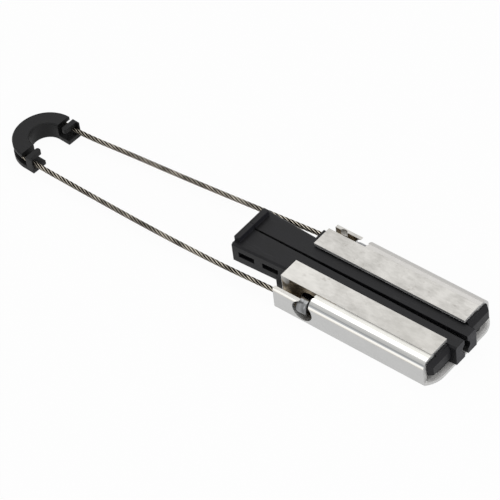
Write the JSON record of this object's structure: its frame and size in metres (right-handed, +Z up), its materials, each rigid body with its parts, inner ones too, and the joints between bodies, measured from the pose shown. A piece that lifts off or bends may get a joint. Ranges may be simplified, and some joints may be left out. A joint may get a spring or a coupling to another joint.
{
  "type": "dead-end anchor clamp",
  "caption": "Wedge-type dead-end anchor clamp: an aluminium channel with tapered liners and sliding wedges that grip a round cable, and a wire rope bail with a saddle.",
  "frame": {"origin": "underside of the channel, on its centre line, at the cable end of its walls", "axes": "+X along the clamp from the cable end towards the bail, +Y to the left side, +Z up from the channel's floor"},
  "size_m": [0.371, 0.0686, 0.0214],
  "materials": {
    "mill_aluminium": "mill finish, polished corners",
    "black_liner": "moulded satin",
    "black_wedge": "moulded satin",
    "rope_steel": "stranded, dull",
    "stop_steel": "swaged, bright",
    "black_saddle": "moulded satin"
  },
  "bodies": {
    "channel": {"clamp_body": "mill_aluminium", "liner_left": "black_liner", "liner_right": "black_liner"},
    "wedge_left": {"wedge_left": "black_wedge"},
    "wedge_right": {"wedge_right": "black_wedge"},
    "bail": {"bail_rope": "rope_steel", "stop_left": "stop_steel", "stop_right": "stop_steel", "bail_saddle": "black_saddle"}
  },
  "joints": [
    {"name": "wedge_left_slide", "type": "slide", "parent": "channel", "child": "wedge_left", "axis": [0.9988, 0.0481, 0], "range_m": [0, 0.06]},
    {"name": "wedge_right_slide", "type": "slide", "parent": "channel", "child": "wedge_right", "axis": [0.9988, -0.0481, 0], "range_m": [0, 0.02]},
    {"name": "bail_swing", "type": "hinge", "parent": "channel", "child": "bail", "pos_m": [0.0984, 0, 0.0083], "axis": [0, -1, 0], "range_deg": [-8, 105]}
  ]
}
